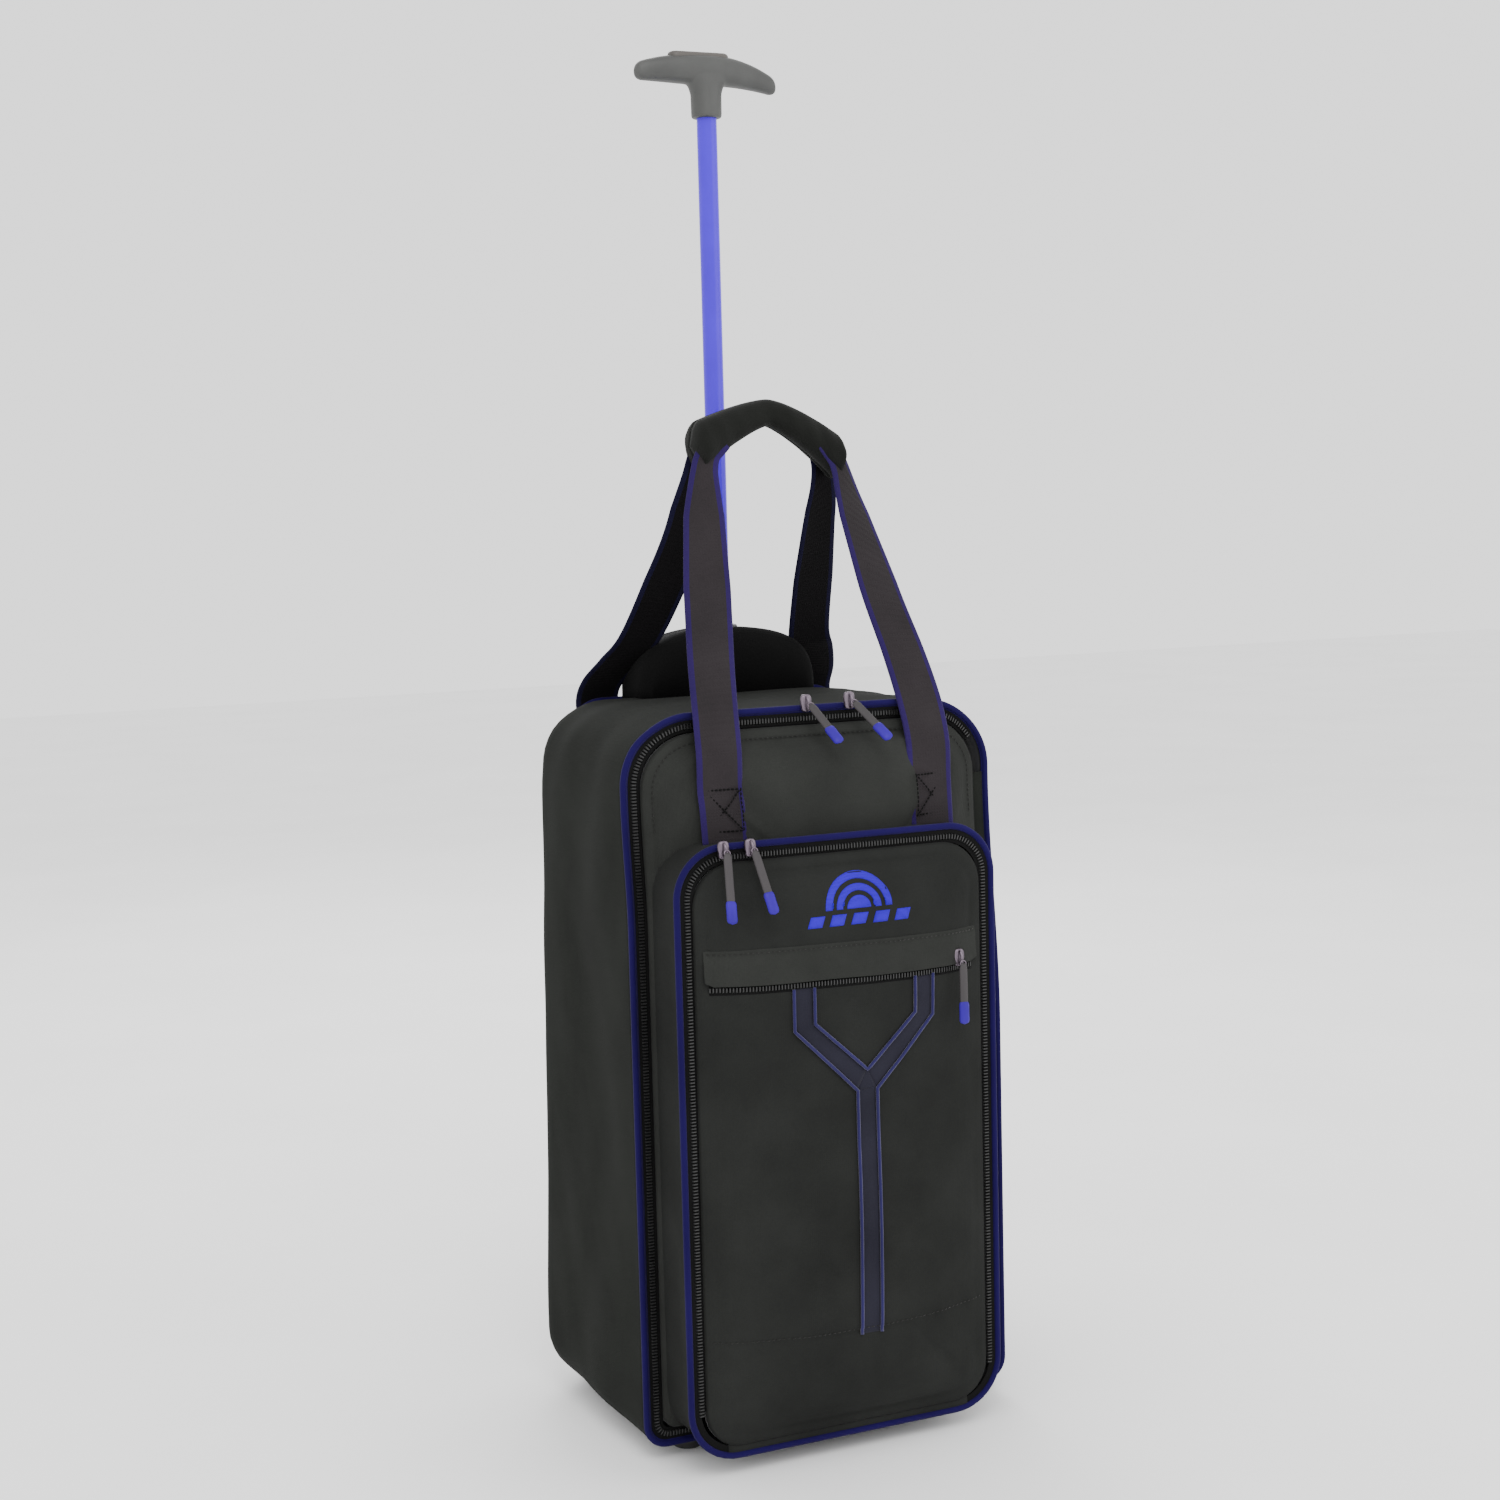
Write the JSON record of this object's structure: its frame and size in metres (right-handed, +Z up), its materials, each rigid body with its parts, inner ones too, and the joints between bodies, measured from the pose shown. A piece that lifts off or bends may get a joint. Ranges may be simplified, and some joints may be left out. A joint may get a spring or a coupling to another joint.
{
  "type": "bowling ball trolley bag",
  "caption": "Upright padded bowling ball trolley bag with a door-type zipped front, outer pocket, carry straps, rear wheels and a telescoping T-handle.",
  "frame": {"origin": "on the floor under the middle of the bag", "axes": "+Z up, the zipped front faces -Y, +X to the right seen from the front"},
  "size_m": [0.335, 0.2993, 1.062],
  "materials": {
    "body_fabric": "woven polyester, matt",
    "lining_fabric": "thin nylon lining",
    "piping": "blue piping",
    "zip_tape": "woven zip tape with coil",
    "webbing": "ribbed webbing with blue edges",
    "grip_pad": "padded fabric",
    "foam": "dense foam",
    "board": "hollow plastic board",
    "tube_blue": "blue anodised look",
    "tube_plain": "mill finish",
    "handle_plastic": "soft-touch grey",
    "button_plastic": "grey brown",
    "black_plastic": "moulded, matt",
    "tyre": "polyurethane tread",
    "steel": "zinc plated",
    "slider_metal": "die-cast, satin",
    "pull_cord": "moulded cord with blue tip",
    "emblem": "embroidered",
    "trim": "trim band with blue edges"
  },
  "bodies": {
    "bag": {"left_side_panel": "body_fabric", "right_side_panel": "body_fabric", "top_panel": "body_fabric", "base_panel": "body_fabric", "back_panel": "body_fabric", "handle_hood": "body_fabric", "door_hinge_strip": "body_fabric", "front_piping": "piping", "rear_piping": "piping", "main_zip_body_tape": "zip_tape", "back_board": "board", "base_board": "board", "lower_ball_tray": "foam", "upper_ball_tray": "foam", "outer_tube": "tube_plain", "tube_socket": "black_plastic", "tube_collar": "black_plastic", "left_wheel_housing": "black_plastic", "right_wheel_housing": "black_plastic", "left_foot": "black_plastic", "right_foot": "black_plastic", "tube_screws": "steel", "axles": "steel", "rear_strap_ends": "webbing"},
    "door": {"lid_panel": "body_fabric", "pocket_gusset": "body_fabric", "pocket_piping": "piping", "main_zip_lid_tape": "zip_tape", "pocket_zip_gusset_tape": "zip_tape", "front_strap_ends": "webbing"},
    "pocket_front": {"pocket_panel": "body_fabric", "small_pocket_flap": "body_fabric", "pocket_zip_face_tape": "zip_tape", "emblem_patch": "emblem", "trim_band": "trim"},
    "front_carry_loop": {"front_strap": "webbing", "front_grip_pad": "grip_pad"},
    "rear_carry_loop": {"rear_strap": "webbing", "rear_grip_pad": "grip_pad"},
    "pull_handle": {"inner_tube": "tube_blue", "t_grip": "handle_plastic", "lock_block": "black_plastic"},
    "button": {"release_button": "button_plastic", "release_rod": "steel"},
    "left_wheel": {"left_tyre": "tyre", "left_hub": "black_plastic", "left_bearing": "steel"},
    "right_wheel": {"right_tyre": "tyre", "right_hub": "black_plastic", "right_bearing": "steel"},
    "main_left_slider": {"main_left_slider": "slider_metal"},
    "main_left_pull": {"main_left_pull": "pull_cord"},
    "main_right_slider": {"main_right_slider": "slider_metal"},
    "main_right_pull": {"main_right_pull": "pull_cord"},
    "pocket_left_slider": {"pocket_left_slider": "slider_metal"},
    "pocket_left_pull": {"pocket_left_pull": "pull_cord"},
    "pocket_right_slider": {"pocket_right_slider": "slider_metal"},
    "pocket_right_pull": {"pocket_right_pull": "pull_cord"},
    "small_zip_slider": {"small_zip_slider": "slider_metal"},
    "small_zip_pull": {"small_zip_pull": "pull_cord"}
  },
  "joints": [
    {"name": "door_hinge", "type": "hinge", "parent": "bag", "child": "door", "pos_m": [0.1495, -0.07, 0.28], "axis": [0, 0, 1], "range_deg": [0, 110]},
    {"name": "pocket_hinge", "type": "hinge", "parent": "door", "child": "pocket_front", "pos_m": [0, -0.12, 0.022], "axis": [1, 0, 0], "range_deg": [0, 80]},
    {"name": "front_loop_hinge", "type": "hinge", "parent": "door", "child": "front_carry_loop", "pos_m": [0, -0.0975, 0.507], "axis": [1, 0, 0], "range_deg": [0, 110]},
    {"name": "rear_loop_hinge", "type": "hinge", "parent": "bag", "child": "rear_carry_loop", "pos_m": [0, 0.134, 0.5645], "axis": [-1, 0, 0], "range_deg": [0, 10]},
    {"name": "handle_slide", "type": "slide", "parent": "bag", "child": "pull_handle", "axis": [0, 0, -1], "range_m": [0, 0.385]},
    {"name": "button_press", "type": "slide", "parent": "pull_handle", "child": "button", "axis": [0, 0, -1], "range_m": [0, 0.004], "stiffness_N_per_m": 800, "springref_m": -0.003},
    {"name": "left_wheel_spin", "type": "hinge", "parent": "bag", "child": "left_wheel", "pos_m": [-0.112, 0.116, 0.03], "axis": [1, 0, 0], "continuous": true},
    {"name": "right_wheel_spin", "type": "hinge", "parent": "bag", "child": "right_wheel", "pos_m": [0.112, 0.116, 0.03], "axis": [1, 0, 0], "continuous": true},
    {"name": "main_left_slider_run", "type": "slide", "parent": "door", "child": "main_left_slider", "axis": [-1, 0, 0], "range_m": [0, 0.046]},
    {"name": "main_right_slider_run", "type": "slide", "parent": "door", "child": "main_right_slider", "axis": [1, 0, 0], "range_m": [0, 0.015]},
    {"name": "pocket_left_slider_run", "type": "hinge", "parent": "pocket_front", "child": "pocket_left_slider", "pos_m": [-0.101, -0.12, 0.429], "axis": [0, -1, 0], "range_deg": [0, 80]},
    {"name": "pocket_right_slider_run", "type": "slide", "parent": "pocket_front", "child": "pocket_right_slider", "axis": [1, 0, 0], "range_m": [0, 0.15]},
    {"name": "small_zip_slider_run", "type": "hinge", "parent": "pocket_front", "child": "small_zip_slider", "pos_m": [-0.01, 0.3144, 0.369], "axis": [0, 0, -1], "range_deg": [0, 17]},
    {"name": "main_left_pull_lift", "type": "hinge", "parent": "main_left_slider", "child": "main_left_pull", "pos_m": [-0.01, -0.0796, 0.56], "axis": [-0.9487, 0, -0.3162], "range_deg": [0, 95]},
    {"name": "main_right_pull_lift", "type": "hinge", "parent": "main_right_slider", "child": "main_right_pull", "pos_m": [0.026, -0.0796, 0.56], "axis": [-0.8878, 0, -0.4603], "range_deg": [0, 95]},
    {"name": "pocket_left_pull_lift", "type": "hinge", "parent": "pocket_left_slider", "child": "pocket_left_pull", "pos_m": [-0.103, -0.1316, 0.4644], "axis": [-0.9926, 0, 0.1215], "range_deg": [0, 110]},
    {"name": "pocket_right_pull_lift", "type": "hinge", "parent": "pocket_right_slider", "child": "pocket_right_pull", "pos_m": [-0.082, -0.1316, 0.4644], "axis": [-0.9912, 0, -0.1322], "range_deg": [0, 110]},
    {"name": "small_zip_pull_lift", "type": "hinge", "parent": "small_zip_slider", "child": "small_zip_pull", "pos_m": [0.082, -0.13999, 0.367], "axis": [-0.9979, 0, 0.0651], "range_deg": [0, 110]}
  ]
}
